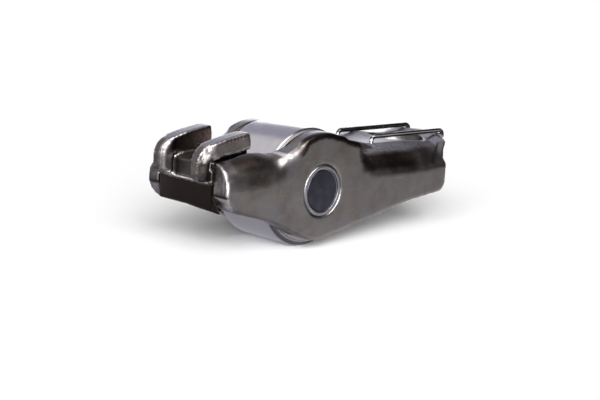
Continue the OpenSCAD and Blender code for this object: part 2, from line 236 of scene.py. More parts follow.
@dataclass(frozen=True)
class PressedSheet:
    """Case-hardened sheet, tumbled, with torn shear zones, a scale-brown flange, painted highlights
    and shade.
    """

    steel: Colour = (0.172, 0.155, 0.147)
    cool: Colour = (0.163, 0.156, 0.166)
    smoke: Colour = (0.122, 0.109, 0.104)
    # rubbed edges and painted highlights
    bright: Colour = (0.66, 0.64, 0.65)
    torn: Colour = (0.34, 0.32, 0.315)
    pit: Colour = (0.105, 0.096, 0.096)
    brown: Colour = (0.026, 0.019, 0.017)
    rust: Colour = (0.05, 0.038, 0.033)
    plate: Colour = (0.0165, 0.0120, 0.0105)
    # black painted as shade in slits and seams
    gap: Colour = (0.004, 0.003, 0.003)
    # lighter colour of polish and of the painted sheen
    burnished_sheen: Colour = (0.31, 0.30, 0.34)
    rough: float = 0.27
    front_x: float = -18.2 * MM
    mark_step: float = 0.62 * MM
    mark_top: float = 10.35 * MM
    mark_slope: float = 0.14
    mark_inner: float = 5.05 * MM
    mark_outer: float = 5.6 * MM

    def build(self) -> bpy.types.Material:
        """Makes the material.

        Returns:
            The material.
        """
        s = Sketch("pressed_sheet")
        clouds, specks, grain = s.noise(240, 5, 0.6), s.noise(2400, 4, 0.7), s.noise(15000, 3, 0.6)
        wear_and_glint, shear, scale, polish = (
            s.carried(zone.value) for zone in (Zone.WEAR_AND_GLINT, Zone.SHEAR, Zone.SCALE, Zone.POLISH_AND_SHEEN)
        )
        marks = self._tool_marks(s)
        x, y, _ = s.split()
        tone = s.blend(s.span(s.noise(420, 3, 0.5), 0.38, 0.62), self.steel, self.cool)
        tone = s.blend(s.span(clouds, 0.62, 0.34), tone, self.smoke)
        tone = s.blend(s.span(x, -9 * MM, 7 * MM, 0.0, 0.30), tone, self.smoke)
        tone = s.blend(s.times(s.span(specks, 0.58, 0.74), 0.30), tone, self.pit)
        tone = s.blend(s.times(self._scratches(s), 0.05), tone, self.bright)
        smooth = s.blend(s.span(specks, 0.35, 0.7), self.burnished_sheen, self.cool)
        # polish and painted sheen: cut ends and faces that look up are lighter
        tone = s.blend(polish, tone, smooth)
        flecks = s.span(s.noise(1300, 4, 0.62), 0.40, 0.56)
        tone = s.blend(shear, tone, s.blend(flecks, self.pit, self.torn))
        tone = s.blend(s.times(marks, 0.75), tone, self.brown)
        # brown scale, painted shade and painted dark reflections, all from the scale map
        front = s.times(s.span(y, 5.6 * MM, 2.0 * MM, 0.35, 1.0), s.under(x, self.front_x))
        coat = s.blend(s.span(specks, 0.4, 0.7), self.brown, self.rust)
        tone = s.blend(scale, tone, s.blend(front, coat, self.plate))
        # painted black shade where the map is over 1.05, in slits and seams
        tone = s.blend(s.span(scale, 1.05, 1.5), tone, self.gap)
        # rubbed edges and painted highlights, both lightened through this map
        edge = s.times(wear_and_glint, s.span(s.noise(1500, 4, 0.65), 0.30, 0.58, 0.5, 1.0))
        tone = s.blend(edge, tone, self.bright)
        rough = s.span(clouds, 0.35, 0.68, self.rough, self.rough + 0.10)
        rough = s.plus(rough, s.times(shear, 0.12))
        rough = s.plus(rough, s.times(s.span(grain, 0.35, 0.65), 0.05))
        normal = s.bump(s.times(s.plus(shear, 0.02), s.noise(1700, 4, 0.6)), 0.16 * MM, 0.9)
        normal = s.bump(s.noise(1100, 2, 0.4), 0.012 * MM, 1.0, normal)
        normal = s.bump(s.math("SUBTRACT", 1.0, marks), 0.10 * MM, 0.9, normal)
        return s.metal(tone, rough, s.bump(grain, 0.003 * MM, 0.7, normal))

    def _tool_marks(self, s: Sketch) -> Socket:
        """A row of small punch marks below the top edge of each lug's outer side.

        Args:
            s: the material's sketch.

        Returns:
            Their map.
        """
        x, y, z = s.split()
        wave = s.math("SINE", s.times(x, 2 * math.pi / self.mark_step))
        wave = s.span(s.plus(wave, s.times(s.noise(700, 2, 0.5), 0.8)), 0.5, 1.0)
        drop = s.math("SUBTRACT", s.plus(s.times(x, self.mark_slope), self.mark_top), z)
        row = s.times(s.span(drop, 0.0, 0.12 * MM), s.span(drop, 0.62 * MM, 0.38 * MM))
        run = s.times(s.span(x, -16.6 * MM, -15.8 * MM), s.span(x, -11.9 * MM, -12.3 * MM))
        side = s.math("ABSOLUTE", y)
        band = s.times(s.over(side, self.mark_inner), s.under(side, self.mark_outer))
        return s.times(wave, row, run, band)

    @staticmethod
    def _scratches(s: Sketch) -> Socket:
        """Sparse fine scratches in two directions, where parts rubbed in the tumbler.

        Args:
            s: the material's sketch.

        Returns:
            Their map.
        """
        one = s.noise(2600, 2, 0.4, s.stretched((0.10, 1.0, 1.6), (0.2, 0.5, 0.1)))
        two = s.noise(2200, 2, 0.4, s.stretched((0.12, 1.0, 1.5), (0.1, -0.8, 0.3)))
        return s.math("MAXIMUM", s.span(one, 0.69, 0.73), s.span(two, 0.70, 0.74))


@dataclass(frozen=True)
class GroundRing:
    """Roller steel, ground round its rim and across its end faces."""

    steel: Colour = (0.51, 0.495, 0.52)
    shade: Colour = (0.45, 0.435, 0.46)
    stain: Colour = (0.33, 0.31, 0.33)
    end: Colour = (0.20, 0.19, 0.20)
    # bevels darker still: oxide brown, and partly a painted dark reflection
    bevel: Colour = (0.075, 0.067, 0.064)
    bevel_y: float = 4.86 * MM
    chamfer_y: float = 4.97 * MM
    bevel_r: float = 8.16 * MM
    rough: float = 0.17

    def build(self) -> bpy.types.Material:
        """Makes the material, with grinding lines that run round the axis.

        Returns:
            The material.
        """
        s = Sketch("ground_ring")
        along, radius = s.about_axis()
        round_axis = s.node("ShaderNodeCombineXYZ", {0: along, 1: radius}).outputs[0]
        lines = s.noise(9000, 4, 0.7, round_axis)
        haze = s.noise(300, 4, 0.6)
        side = s.math("ABSOLUTE", along)
        outside = s.over(side, self.bevel_y)
        rim = s.times(outside, s.over(radius, self.bevel_r))
        tone = s.blend(s.span(lines, 0.3, 0.7), self.shade, self.steel)
        tone = s.blend(s.times(s.span(haze, 0.5, 0.75), 0.25), tone, self.stain)
        tone = s.blend(s.times(outside, 0.75), tone, self.end)
        # bevels: oxide brown, partly a painted dark reflection
        tone = s.blend(rim, tone, s.blend(s.span(lines, 0.35, 0.65), self.bevel, self.end))
        rough = s.span(haze, 0.35, 0.7, self.rough, self.rough + 0.09)
        rough = s.plus(rough, s.times(lines, 0.05))
        rough = s.plus(rough, s.times(s.over(side, self.chamfer_y), rim, 0.33))
        normal = s.bump(lines, 0.0022 * MM, 0.8)
        return s.metal(tone, rough, s.bump(s.noise(12000, 3, 0.6), 0.001 * MM, 0.6, normal))


@dataclass(frozen=True)
class AxleSteel:
    """Axle end: a dark disc inside a bright staked bevel."""

    disc: Colour = (0.030, 0.031, 0.042)
    disc_haze: Colour = (0.046, 0.045, 0.058)
    bevel: Colour = (0.25, 0.245, 0.265)
    bevel_haze: Colour = (0.17, 0.165, 0.18)
    disc_r: float = 3.07 * MM
    face: float = 8.0 * MM

    def build(self) -> bpy.types.Material:
        """Makes the material; the disc's colour ends at its groove.

        Returns:
            The material.
        """
        s = Sketch("axle_steel")
        along, radius = s.about_axis()
        at_end = s.over(s.math("ABSOLUTE", along), self.face)
        haze = s.noise(700, 4, 0.6)
        turned = s.noise(16000, 2, 0.6, s.node("ShaderNodeCombineXYZ", {0: radius}).outputs[0])
        disc = s.blend(s.span(haze, 0.35, 0.7), self.disc, self.disc_haze)
        bevel = s.blend(s.span(haze, 0.4, 0.7), self.bevel, self.bevel_haze)
        tone = s.blend(s.times(s.under(radius, self.disc_r), at_end), bevel, disc)
        rough = s.plus(s.span(haze, 0.3, 0.7, 0.24, 0.33), s.times(turned, 0.06))
        normal = s.bump(turned, 0.0016 * MM, 0.8)
        return s.metal(tone, rough, s.bump(s.noise(9000, 3, 0.6), 0.002 * MM, 0.6, normal))


@dataclass(frozen=True)
class NeedleSteel:
    """Polished bearing steel."""

    steel: Colour = (0.62, 0.61, 0.62)
    shade: Colour = (0.52, 0.51, 0.53)

    def build(self) -> bpy.types.Material:
        """Makes the material.

        Returns:
            The material.
        """
        s = Sketch("needle_steel")
        lines = s.noise(11000, 3, 0.6, s.stretched((1.0, 0.08, 1.0)))
        tone = s.blend(s.span(lines, 0.35, 0.7), self.shade, self.steel)
        return s.metal(tone, s.span(lines, 0.3, 0.7, 0.13, 0.22), s.bump(lines, 0.001 * MM, 0.7))


@dataclass(frozen=True)
class SpringWire:
    """Blackened spring wire with rubbed spots, and painted highlights on the near leg and front
    feet.
    """

    black: Colour = (0.040, 0.039, 0.043)
    # colour of rubbed spots and of the painted highlights
    rubbed_and_glint: Colour = (0.48, 0.47, 0.48)
    foot_z: float = 5.9 * MM
    foot_ease: float = 0.2 * MM
    rear_x: float = 20.0 * MM
    stripe_z: float = 6.38 * MM
    stripe_half: float = 0.14 * MM

    def build(self) -> bpy.types.Material:
        """Makes the material.

        Returns:
            The material.
        """
        s = Sketch("clip_wire")
        drawn = s.noise(7000, 4, 0.65, s.stretched((0.06, 1.0, 1.0)))
        x, y, z = s.split()
        # painted highlight on the feet, where the wire bends down
        foot = s.span(z, self.foot_z + self.foot_ease, self.foot_z - self.foot_ease, 0.0, 0.8)
        foot = s.times(foot, s.under(x, self.rear_x))
        spots = s.times(s.span(s.noise(1100, 4, 0.6), 0.56, 0.76), 0.4)
        # painted highlight stripe along the middle of the legs, strongest on the near leg
        stripe = s.times(
            s.span(z, self.stripe_z - self.stripe_half, self.stripe_z),
            s.span(z, self.stripe_z + self.stripe_half, self.stripe_z),
            s.span(y, 1.0 * MM, -1.0 * MM, 0.25, 1.0),
        )
        tone = s.blend(s.math("MAXIMUM", spots, foot), self.black, self.rubbed_and_glint)
        tone = s.blend(s.times(stripe, 0.8), tone, self.rubbed_and_glint)
        rough = s.plus(s.span(drawn, 0.3, 0.7, 0.20, 0.32), s.times(stripe, 0.25))
        return s.metal(tone, rough, s.bump(drawn, 0.004 * MM, 0.7))


@dataclass(frozen=True)
class PaleFloor:
    """White paper floor that keeps the object's shadow."""

    white: float = 0.97
    fleck: float = 0.96

    def build(self) -> bpy.types.Material:
        """Makes the material.

        Returns:
            The material.
        """
        s = Sketch("paper_floor")
        grain = s.span(s.noise(900, 3, 0.6), 0.3, 0.7)
        tone = s.blend(grain, (self.fleck,) * 3, (self.white,) * 3)
        return s.finish(s.node("ShaderNodeBsdfDiffuse", {"Color": tone}).outputs[0])


@dataclass(frozen=True)
class Glow:
    """An even glow that fades out with the mesh's own share map."""

    name: str
    colour: Colour
    level: float = 1.0

    def build(self) -> bpy.types.Material:
        """Makes the material.

        Returns:
            The material.
        """
        s = Sketch(self.name)
        light = s.node("ShaderNodeEmission", {"Color": self.colour, "Strength": self.level})
        clear = s.node("ShaderNodeBsdfTransparent")
        share = s.span(s.carried("share"), 0.0, 1.0)
        inputs = {0: share, 1: clear.outputs[0], 2: light.outputs[0]}
        return s.finish(s.node("ShaderNodeMixShader", inputs).outputs[0])


def put(mesh: bpy.types.Mesh, name: str, material: bpy.types.Material) -> bpy.types.Object:
    """Places a mesh in the scene as a finished piece.

    Args:
        mesh: the finished mesh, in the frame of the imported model.
        name: name of the piece.
        material: its finish.

    Returns:
        The object, at the origin, unturned and unscaled.
    """
    mesh.name = name
    mesh.materials.clear()
    mesh.materials.append(material)
    made = bpy.data.objects.new(name, mesh)
    bpy.context.scene.collection.objects.link(made)
    return made


def dress(piece: bpy.types.Object, nodes: Sequence[str], body: Body) -> None:
    """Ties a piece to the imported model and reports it.

    Args:
        piece: the finished piece.
        nodes: the CAD nodes it stands for.
        body: the body it rides on.
    """
    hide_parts(*nodes)
    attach(piece, body.value)
    LOG.info("%s: %d faces for %s", piece.name, len(piece.data.polygons), ", ".join(nodes[:3]))


def closed(bm: bmesh.types.BMesh, name: str) -> bpy.types.Mesh:
    """Turns a bmesh into a mesh.

    Args:
        bm: the bmesh, which is freed.
        name: name of the mesh.

    Returns:
        The new mesh.
    """
    mesh = bpy.data.meshes.new(name)
    bm.to_mesh(mesh)
    bm.free()
    return mesh


def rounded(profile: Sequence[Point], steps: int) -> list[tuple[float, float]]:
    """Rounds the corners of a closed profile.

    Args:
        profile: corners as (radius, y, rounding), in millimetres.
        steps: points on each rounding.

    Returns:
        The outline's points.
    """
    out: list[tuple[float, float]] = []
    for k, (r, y, size) in enumerate(profile):
        if size <= 0:
            out.append((r, y))
            continue
        here = Vector((r, y))
        before = Vector(profile[k - 1][:2]) - here
        after = Vector(profile[(k + 1) % len(profile)][:2]) - here
        a = here + before.normalized() * size
        b = here + after.normalized() * size
        for step in range(steps + 1):
            t = step / steps
            out.append(tuple(a * (1 - t) ** 2 + here * 2 * t * (1 - t) + b * t**2))
    return out


def lathe(name: str, right: Sequence[Point], segments: int, steps: int = 4) -> bpy.types.Mesh:
    """Turns a profile about the roller axis, with its mirror image on the other side.

    Args:
        name: name of the mesh.
        right: corners of the +Y half as (radius, y, rounding), in millimetres; a corner on the
            axis closes the end.
        segments: steps round the axis.
        steps: points on each rounding.

    Returns:
        A closed mesh in metres with its faces outwards.
    """
    bm = bmesh.new()
    rings: list[list[bmesh.types.BMVert]] = []
    for r, y in rounded([*right, *((r, -y, size) for r, y, size in reversed(right))], steps):
        if r < ON_AXIS:
            rings.append([bm.verts.new((0, y * MM, 0))] * segments)
            continue
        turns = (2 * math.pi * k / segments for k in range(segments))
        ring = [(r * MM * math.sin(a), y * MM, r * MM * math.cos(a)) for a in turns]
        rings.append([bm.verts.new(place) for place in ring])
    for ring, other in zip(rings, rings[1:] + rings[:1]):
        for n in range(segments):
            after = (n + 1) % segments
            corners = list(dict.fromkeys([ring[n], ring[after], other[after], other[n]]))
            if len(corners) > 2:
                bm.faces.new(corners)
    bmesh.ops.recalc_face_normals(bm, faces=bm.faces)
    mesh = closed(bm, name)
    mesh.shade_smooth()
    mesh.set_sharp_from_angle(angle=SHARP)
    return mesh


def evaluated(seed: bpy.types.Object) -> bpy.types.Mesh:
    """The result of an object's modifiers as a plain mesh.

    Args:
        seed: the object that carries them; it is removed afterwards.

    Returns:
        The finished mesh.
    """
    bpy.context.view_layer.update()
    shown = seed.evaluated_get(bpy.context.evaluated_depsgraph_get())
    mesh = bpy.data.meshes.new_from_object(shown)
    bpy.data.objects.remove(seed)
    return mesh


class Recipe(Graph):
    """A geometry node tree with named inputs."""

    def __init__(self, name: str, inputs: Sequence[tuple[str, str, float]]) -> None:
        """Starts a tree.

        Args:
            name: name of the tree.
            inputs: (name, socket type, value) of each input after the geometry.
        """
        super().__init__(bpy.data.node_groups.new(name, "GeometryNodeTree"))
        self.values = {label: value for label, _, value in inputs}
        face = self.tree.interface
        face.new_socket("Geometry", in_out="INPUT", socket_type="NodeSocketGeometry")
        for label, kind, value in inputs:
            face.new_socket(label, in_out="INPUT", socket_type=kind).default_value = value
        face.new_socket("Geometry", in_out="OUTPUT", socket_type="NodeSocketGeometry")
        self.start = self.node("NodeGroupInput").outputs
        self.end = self.node("NodeGroupOutput")

    def grow(
        self, seed: bpy.types.Object, geometry: Socket, material: bpy.types.Material
    ) -> bpy.types.Mesh:
        """Ends the tree, runs it on a seed object and returns the result.

        Args:
            seed: the object to run on; it is removed afterwards.
            geometry: the tree's last geometry.
            material: the finish to set.

        Returns:
            The finished mesh.
        """
        real = self.node("GeometryNodeRealizeInstances", {"Geometry": geometry}).outputs[0]
        coat = self.node("GeometryNodeSetMaterial", {"Geometry": real, "Material": material})
        self.tree.links.new(coat.outputs[0], self.end.inputs[0])
        modifier = seed.modifiers.new("grow", "NODES")
        modifier.node_group = self.tree
        for item in self.tree.interface.items_tree:
            if item.in_out == "INPUT" and item.name in self.values:
                modifier[item.identifier] = self.values[item.name]
        return evaluated(seed)


@dataclass
class Hide:
    """A dense closed surface that can be relaxed, pushed and mapped."""

    points: np.ndarray
    faces: list[tuple[int, ...]]
    edges: np.ndarray

    @classmethod
    def of(cls, mesh: bpy.types.Mesh) -> "Hide":
        """Reads a mesh.

        Args:
            mesh: the mesh, in metres.

        Returns:
            Its surface, with the points in millimetres.
        """
        points = np.empty(len(mesh.vertices) * 3)
        mesh.vertices.foreach_get("co", points)
        edges = np.empty(len(mesh.edges) * 2, dtype=np.int64)
        mesh.edges.foreach_get("vertices", edges)
        faces = [tuple(face.vertices) for face in mesh.polygons]
        return cls(points.reshape(-1, 3) / MM, faces, edges.reshape(-1, 2))

    def axes(self) -> tuple[np.ndarray, ...]:
        """Live views of x, y and z, and the distance from the middle plane as it is now."""
        return (*self.points.T, np.abs(self.points[:, 1]))

    def pinch(self, by: np.ndarray) -> None:
        """Moves points towards the middle plane."""
        self.points[:, 1] -= np.sign(self.points[:, 1]) * by

    def average(self, values: np.ndarray) -> np.ndarray:
        """The mean of each point's neighbours.

        Args:
            values: a number or a row for each point.

        Returns:
            The means, in the same shape.
        """
        a, b = self.edges.T
        count = len(self.points)
        links = np.bincount(a, minlength=count) + np.bincount(b, minlength=count)
        columns = values.reshape(count, -1).T
        total = [np.bincount(a, c[b], count) + np.bincount(b, c[a], count) for c in columns]
        return (np.stack(total, 1) / np.maximum(links, 1)[:, None]).reshape(values.shape)

    def relax(self, share: np.ndarray | float, rounds: int) -> None:
        """Moves points towards their neighbours.

        Args:
            share: how far each point moves, per point or for all.
            rounds: number of passes.
        """
        weight = np.broadcast_to(np.asarray(share, float), len(self.points))[:, None]
        for _ in range(rounds):
            self.points += weight * (self.average(self.points) - self.points)

    def normals(self) -> np.ndarray:
        """Outward normals, weighted by area.

        Returns:
            A unit vector for each point.
        """
        out = np.zeros_like(self.points)
        for size in {len(face) for face in self.faces}:
            corners = np.array([face for face in self.faces if len(face) == size])
            p = self.points[corners]
            area = np.cross(p[:, 2] - p[:, 0], p[:, 3 % size] - p[:, 1])
            for k in range(size):
                np.add.at(out, corners[:, k], area)
        return out / np.maximum(np.linalg.norm(out, axis=1, keepdims=True), 1e-12)

    def near(self, marks: np.ndarray, among: np.ndarray) -> np.ndarray:
        """Distance from each point to the nearest marked one.

        Args:
            marks: which points are marked.
            among: which points are asked about; the others count as far.

        Returns:
            The distances in millimetres.
        """
        spots = np.flatnonzero(marks)
        tree = kdtree.KDTree(len(spots))
        for k, spot in enumerate(spots):
            tree.insert(self.points[spot], k)
        tree.balance()
        out = np.full(len(self.points), FAR)
        for k in np.flatnonzero(among):
            out[k] = min(FAR, tree.find(self.points[k])[2])
        return out


def ramp(values: np.ndarray, low: float, high: float) -> np.ndarray:
    """Eased step from 0 at low to 1 at high, either way round."""
    t = np.clip((values - low) / (high - low), 0, 1)
    return t * t * (3 - 2 * t)


def hill(
    values: np.ndarray, low: float, top_low: float, top_high: float, high: float
) -> np.ndarray:
    """Rises from low to top_low, stays 1 to top_high and falls to 0 at high."""
    return ramp(values, low, top_low) * ramp(values, high, top_high)


def within(values: np.ndarray, low: float, high: float) -> np.ndarray:
    """Which values lie between two limits."""
    return (values > low) & (values < high)


def read(curve: Curve, at: np.ndarray) -> np.ndarray:
    """Reads a curve of (place, value) pairs."""
    return np.interp(at, *zip(*curve))


def crackle(points: np.ndarray, scale: float, seed: float) -> np.ndarray:
    """Ragged noise with a fixed seed.

    Args:
        points: places in millimetres.
        scale: cells per millimetre.
        seed: shift of the pattern.

    Returns:
        A value between -1 and 1 for each point.
    """
    shift = Vector((seed, seed * 1.7, seed * 0.6))
    return np.array([
        noise.noise(p * scale + shift) * 0.65 + noise.noise(p * scale * 2.3 - shift) * 0.35
        for p in map(Vector, points)
    ])


def carry(mesh: bpy.types.Mesh, name: str, values: Sequence[float]) -> None:
    """Stores a map on the mesh's points."""
    values = np.asarray(values, np.float32)
    mesh.attributes.new(name, "FLOAT", "POINT").data.foreach_set("value", values)


@dataclass
class PressedLever:
    """The one-piece stamping: walls, bent arms, lugs, pad, flange and socket.

    The first sizes give where the parts of the stamping lie, the next how far each form
    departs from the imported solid, and the curves are (x, value) pairs.
    """

    finish: PressedSheet = field(default_factory=PressedSheet)
    hide: Hide = field(init=False)
    cell: float = 0.2
    inner_half: float = 5.75
    outer_half: float = 8.35
    lug_in: float = 2.95
    lug_out: float = 5.30
    web_top: float = 5.2
    flange_x: float = -18.7
    flange_top: float = 2.1
    end_x: float = -18.5
    tip_x: float = 22.7
    axle_clear: float = 4.4
    brim_from: tuple[float, float] = (-8.5, 5.8)
    brim_run: tuple[float, float] = (2.1, 2.0)

    die_roll: float = 1.0
    web_crown: float = 0.25
    web_pull: float = 2.1
    lean: float = 0.30
    pivot_lean: float = 0.16
    ear_fill: float = 0.45
    shoulder_shift: float = 0.7
    far_drop: float = 0.35
    far_proud: float = 0.42
    flange_skew: float = 0.066
    lap: float = 1.6
    seam_closed: float = 0.28
    lug_lift: float = 0.10
    waist: float = 0.55
    lip_waist: float = 0.2
    foot_relief: float = 0.62
    heel_relief: float = 0.45
    outer_tear: float = 0.55
    inner_tear: float = 0.30
    pits: float = 0.26
    far_seam: float = 0.6
    burr: float = 0.14
    burr_rag: float = 0.2

    swell: Curve = (
        (-17.5, 0.0), (-16.5, 0.15), (-14.3, 0.45), (-12.6, 0.60), (-11.0, 0.42), (-9.4, 0.0)
    )
    ear_sink: Curve = ((-9.4, 0.0), (-8.0, 0.40), (-6.6, 0.72), (-5.2, 0.55), (-3.6, 0.0))
    far_crown: Curve = ((15.5, 0.0), (17.2, 0.30), (18.8, 0.65), (21.0, 0.35), (24.0, 0.0))
    lean_foot: Curve = ((-18.5, 0.9), (-12.0, 1.2), (-7.0, 2.3), (-4.5, 3.8))
    gap_floor: Curve = ((-18.6, 4.6), (-16.5, 5.2), (-14.3, 5.35), (-12.2, 5.6))
    gap_roof: Curve = ((-18.6, 5.0), (-16.5, 5.8), (-14.3, 5.95), (-12.2, 6.45))
    # (x, z) line of the scoop at each crest ear, along which a highlight is painted
    scoop: Curve = (
        (-8.4, 4.5), (-7.4, 5.1), (-6.7, 5.9), (-5.5, 6.7), (-4.2, 7.35), (-3.2, 7.8)
    )

    def build(self) -> bpy.types.Object:
        """Builds the lever over its CAD solid.

        Returns:
            The finished piece.
        """
        self.hide = Hide.of(self._cells(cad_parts["lever_body"].data))
        self.hide.relax(0.5, 2)
        self._roll_outline()
        self._draw_shoulders(np.abs(self.hide.points[:, 1]))
        self._draw_valve_end()
        self._draw_tip()
        self._undercut_lugs()
        shear = self._tear()
        self._burr()
        mesh = bpy.data.meshes.new("lever")
        mesh.from_pydata((self._far_seam() * MM).tolist(), [], self.hide.faces)
        mesh.shade_smooth()
        maps = {
            Zone.WEAR_AND_GLINT: self._wear_and_glints(),
            Zone.SHEAR: shear,
            Zone.SCALE: self._scale_and_shade(),
            Zone.POLISH_AND_SHEEN: self._polish_and_sheen(),
        }
        for zone, values in maps.items():
            carry(mesh, zone.value, values)
        piece = put(mesh, "lever", self.finish.build())
        dress(piece, ["lever_body"], Body.LEVER)
        return piece

    def _cells(self, source: bpy.types.Mesh) -> bpy.types.Mesh:
        """Lays the solid out in even cells.

        Args:
            source: the solid's mesh, which stays as it is.

        Returns:
            A welded copy in cells of one size.
        """
        bm = bmesh.new()
        bm.from_mesh(source)
        bmesh.ops.remove_doubles(bm, verts=bm.verts, dist=WELD)
        holder = bpy.data.objects.new("cells", closed(bm, "cells"))
        bpy.context.scene.collection.objects.link(holder)
        modifier = holder.modifiers.new("cells", "REMESH")
        modifier.mode = "VOXEL"
        modifier.voxel_size = self.cell * MM
        return evaluated(holder)

    def _on_lug(self, side: np.ndarray, ease: float) -> np.ndarray:
        """Which points lie in the lugs' width, taken wider by an ease."""
        return within(side, self.lug_in - ease, self.lug_out + ease)

    def _roll_outline(self) -> None:
        """Rounds the walls' outer rim, most along the crest, as the die rolls it over."""
        x, _, z, side = self.hide.axes()
        bore = np.hypot(x, z) < self.axle_clear
        flat = np.abs(self.hide.normals()[:, 1])
        rim = (side > self.outer_half - 0.45) & (flat < 0.75) & ~bore
        away = self.hide.near(rim, (side > self.outer_half - 1.7) & ~bore)
        crest = ramp(z, 2.5, 4.5) * hill(x, -9.5, -7.5, 8.5, 10.5)
        self.hide.relax(0.8 * crest * ramp(away, self.die_roll * 1.2, self.die_roll * 0.4), 11)
        self.hide.relax(0.5 * (1 - crest) * ramp(away, 0.9, 0.25), 6)

    def _draw_shoulders(self, side: np.ndarray) -> None:
        """Shapes where the bent arms run out into the flat walls and the crest's ears.

        Args:
            side: distance of each point from the middle plane before the first push.
        """
        x, y, z, _ = self.hide.axes()
        outer = ramp(side, 6.4, 7.4)
        crown = self.web_crown * ramp(side, 6.8, 4.6) * hill(x, 10.5, 11.5, 23.5, 27.0)
        crown = crown + read(self.far_crown, x) * ramp(y, -2.5, 3.0) * ramp(side, 8.3, 6.0)
        swell = read(self.swell, x) * ramp(z, 1.5, 4.8) * (side > self.inner_half - 0.15)
        z += swell + crown * ramp(z, 3.2, 4.8)
        z -= read(self.ear_sink, x) * ramp(side, 6.2, 8.2) * ramp(z, 4.0, 5.6) * (y < 0)
        rise = np.clip((z - read(self.lean_foot, x)) / 2.0, 0, 1) ** 2
        self.hide.pinch(self.lean * rise * outer * ramp(-x, 3.6, 5.0))
        web = (side < self.inner_half + 0.02) & (z > 2.0) & (x > 15.0)
        x -= self.web_pull * ramp(x, 18.1, 15.9) * web
        skin = hill(x, -18.0, -16.5, -5.0, -3.6) * ramp(side, 5.9, 6.9)
        self.hide.relax(0.8 * skin * hill(z, 1.2, 2.4, 6.4, 7.6), 30)
        rise = np.clip((z - 1.3) / 2.0, 0, 1.6) ** 2
        lean = self.lean * rise * outer * hill(x, 7.0, 8.4, 9.6, 11.4)
        rise = np.clip((z - 0.6) / 1.5, 0, 1) ** 2
        self.hide.pinch(lean + self.pivot_lean * rise * outer * hill(x, 9.5, 12.0, 24.0, 27.0))
        fold = hill(x, 7.4, 8.4, 10.0, 11.6) * ramp(side, 6.0, 7.0) * hill(z, -0.5, 0.8, 5.0, 6.2)
        self.hide.relax(0.8 * fold, 26)
        ear = hill(x, 2.6, 4.8, 6.4, 8.6) * ramp(z, 3.6, 5.4) * ramp(side, 5.6, 6.2)
        z += self.ear_fill * ear
        start = hill(x, 5.0, 7.8, 8.6, 12.0) * ramp(side, 6.3, 7.3)
        x += self.shoulder_shift * start * hill(z, -0.5, 2.5, 7.6, 8.6)
        drop = ramp(y, 5.6, 6.4) * ramp(-x, 15.0, 17.2) * hill(z, -4.4, -3.0, -1.4, 0.0)
        proud = ramp(y, 5.6, 6.6) * ramp(-x, 17.2, 18.3) * hill(z, -4.0, -2.4, 2.4, 3.6)
        z -= self.far_drop * drop
        x -= self.far_proud * proud

    def _draw_valve_end(self) -> None:
        """Sets the flange's lower edge askew, closes its seams and lifts the lugs' rear ends."""
        p = self.hide.points
        x, y, z = p.T.copy()
        side = np.abs(y)
        low = ramp(z, 1.4, -1.0) * ramp(x, -15.4, -17.0) * (side < self.lug_out + 0.1)
        p[:, 2] += self.flange_skew * np.minimum(y, 0) * low
        lap = ramp(x, -17.9, -18.4) * ramp(z, 1.0, -1.5) * (side < self.lug_out + 0.1)
        p[:, 1] -= self.lap * lap * ramp(-y, 2.6, 5.2)
        seam = ramp(-x, 16.6, 17.4) * ramp(side, 6.7, 5.9) * (side > self.inner_half - 0.2)
        self.hide.pinch(self.seam_closed * seam)
        lug = self._on_lug(side, 0.2)
        p[:, 2] += self.lug_lift * ramp(x, -15.5, -12.0) * ramp(z, 6.2, 7.8) * lug
        self.hide.relax(0.6 * lug * ramp(x, -12.7, -12.2) * ramp(p[:, 2], 7.6, 8.0), 8)

    def _draw_tip(self) -> None:
        """Draws a waist between the tip's skirt and its upper lip, where the clip hooks under."""
        x, _, z, _ = self.hide.axes()
        flat = self.hide.points[:, :2] - (self.tip_x, 0)
        out = np.linalg.norm(flat, axis=1)
        waist = self.waist * hill(z, 1.4, 2.6, 3.3, 5.0)
        waist = waist + self.lip_waist * hill(z, 3.0, 4.4, 5.4, 6.4)
        waist = waist * ramp(x, 23.0, 28.8) * ramp(out, 8.0, 8.8)
        self.hide.points[:, :2] -= flat / np.maximum(out, 0.1)[:, None] * waist[:, None]

    def _undercut_lugs(self) -> None:
        """Opens the relief under each lug's outer foot, which reads as a black gap."""
        x, _, z, side = self.hide.axes()
        back = self.hide.normals()[:, 0]
        floor, roof = read(self.gap_floor, x), read(self.gap_roof, x)
        lug = within(side, 3.6, self.lug_out + 0.2) & (x < -11.2)
        band = ramp(z, roof + 0.08, roof - 0.12) * ramp(z, floor - 0.9, floor - 0.6) * lug
        cheek = band * ramp(side, self.lug_out - 0.45, self.lug_out - 0.1)
        self.hide.pinch(self.foot_relief * cheek * hill(x, -18.9, -18.4, -11.9, -11.5))
        x -= self.heel_relief * band * ramp(back, 0.35, 0.8) * (x > -13.0)

